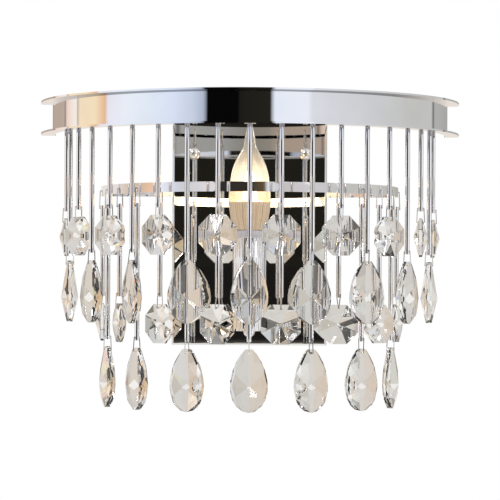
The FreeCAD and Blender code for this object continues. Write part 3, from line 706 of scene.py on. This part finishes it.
def mirror_studio(tree, parts):
    """What polished metal mirrors, by azimuth near the level and by height beyond."""
    share = azimuth_share(tree, parts)
    upper = bands(tree, share, UPPER_BANDS)
    lower = bands(tree, share, LOWER_BANDS)
    level = bands(tree, share, LEVEL_BANDS)
    near_level = share_between(tree, parts["Z"], -NEAR_LEVEL, NEAR_LEVEL)
    at_ring = mask_between(tree, near_level, *RING_LEVEL)
    at_rim = ramp(tree, near_level, [(0.0, BLACK), (RIM_LEVEL, LIGHT)], "CONSTANT")
    banded = colour_mix(tree, at_rim, colour_mix(tree, at_ring, level, lower), upper)
    height = share_between(tree, parts["Z"], -1.0, 1.0)
    start, whole, fade, end = BANDS_HEIGHTS
    inside = ramp(tree, height, [(start, BLACK), (whole, LIGHT), (fade, LIGHT), (end, BLACK)])
    dimmed = colour_mix(tree, BELOW_SHARE, (*BLACK, 1.0), upper)
    below = mask_between(tree, near_level, *BELOW_LEVEL)
    front = colour_mix(tree, below, ramp(tree, height, FRONT_ENDS), dimmed)
    rear = ramp(tree, height, REAR_ENDS)
    towards_wall = share_between(tree, parts["Y"], 0.0, 1.0)
    sides = ramp(tree, height, [(place, (weight, weight, weight)) for place, weight in SIDES_LEVEL])
    ends = colour_mix(tree, sides, colour_mix(tree, towards_wall, front, rear), level)
    return colour_mix(tree, inside, ends, banded)


def glass_studio(tree, way, parts):
    """What cut glass throws to the eye: flat patches, and the plain wall straight through it.

    Red, green and blue see the patches a little apart, as cut glass spreads them.
    """
    channels = {}
    for index, name in enumerate(("Red", "Green", "Blue")):
        aside = FRINGE * (index - 1)
        shifted = vector_math(tree, "ADD", way, tuple(part + aside for part in PATCH_SHIFT))
        cells = add(tree, "ShaderNodeTexVoronoi", Vector=shifted, Scale=PATCH_SCALE)
        pick = add(tree, "ShaderNodeSeparateColor", Color=cells.outputs["Color"]).outputs["Red"]
        patch = ramp(tree, pick, PATCHES, "CONSTANT")
        channels[name] = add(tree, "ShaderNodeSeparateColor", Color=patch).outputs[name]
    patches = add(tree, "ShaderNodeCombineColor", **channels).outputs["Color"]
    side = ramp(tree, share_between(tree, parts["X"], -1.0, 1.0), WARM_SIDE)
    tinted = vector_math(tree, "MULTIPLY", patches, side)
    turned = [azimuth_position(azimuth) for azimuth in CAMERA_SIDE]
    levels = [height_position(height) for height in CAMERA_SIDE_HEIGHTS]
    facing = mask_between(tree, azimuth_share(tree, parts), *turned)
    level = mask_between(tree, share_between(tree, parts["Z"], -1.0, 1.0), *levels)
    camera_side = math_node(tree, "MULTIPLY", facing, level)
    thrown = colour_mix(tree, camera_side, tinted, CAMERA_SIDE_TONE)
    limit = math.cos(math.radians(STRAIGHT_THROUGH))
    straight = math_node(tree, "GREATER_THAN", parts["Y"], limit)
    return colour_mix(tree, straight, thrown, WALL)


def floor():
    """A floor far below: pale to diffuse light, and plain white to the camera, mirrors and glass."""
    mesh = bpy.data.meshes.new("floor")
    s = FLOOR_HALF_SIZE
    corners = [(-s, -s, -FLOOR_DROP), (s, -s, -FLOOR_DROP), (s, s, -FLOOR_DROP), (-s, s, -FLOOR_DROP)]
    mesh.from_pydata(corners, [], [(0, 1, 2, 3)])
    plane = bpy.data.objects.new("floor", mesh)
    bpy.context.collection.objects.link(plane)
    material = bpy.data.materials.new("floor")
    material.use_nodes = True
    tree = material.node_tree
    tree.nodes.clear()
    path = add(tree, "ShaderNodeLightPath").outputs
    seen = math_node(tree, "MAXIMUM", path["Is Camera Ray"], path["Is Transmission Ray"])
    either = math_node(tree, "MAXIMUM", seen, path["Is Glossy Ray"])
    matt = add(tree, "ShaderNodeBsdfDiffuse", Color=FLOOR_TONE)
    lit = add(tree, "ShaderNodeEmission", Color=WHITE, Strength=1.0)
    mix = add(tree, "ShaderNodeMixShader", Fac=either)
    set_socket(tree, mix, 1, matt.outputs["BSDF"])
    set_socket(tree, mix, 2, lit.outputs["Emission"])
    add(tree, "ShaderNodeOutputMaterial", Surface=mix.outputs["Shader"])
    mesh.materials.append(material)


def softbox(name, place, size, power):
    """A square area lamp that mirrors and glass see and the camera doesn't."""
    lamp = bpy.data.lights.new(name, "AREA")
    lamp.energy = power
    lamp.size = size
    thing = bpy.data.objects.new(name, lamp)
    thing.location = place
    thing.rotation_mode = "QUATERNION"
    thing.rotation_quaternion = (Vector(SOFTBOX_AIM) - Vector(place)).to_track_quat("-Z", "Y")
    thing.visible_camera = False
    bpy.context.collection.objects.link(thing)


def camera():
    """The photograph's camera."""
    data = bpy.data.cameras.new("camera")
    data.lens = CAMERA_LENS
    data.shift_x, data.shift_y = CAMERA_SHIFT
    thing = bpy.data.objects.new("camera", data)
    upright = Matrix.Rotation(math.radians(90.0), 4, "X")
    roll = Matrix.Rotation(math.radians(CAMERA_ROLL), 4, "Z")
    thing.matrix_world = Matrix.Translation((0.0, -CAMERA_DISTANCE, CAMERA_HEIGHT)) @ upright @ roll
    bpy.context.collection.objects.link(thing)
    bpy.context.scene.camera = thing


camera()
finishes = materials()
dress(finishes)
round_rods("outer", finishes["chrome"])
round_rods("inner", finishes["chrome"])
candle_glass(finishes["bulb_glass"])
studio_world()
floor()
for name, place, size, power in SOFTBOXES:
    softbox(name, place, size, power)
bpy.context.scene.view_settings.view_transform = "Standard"
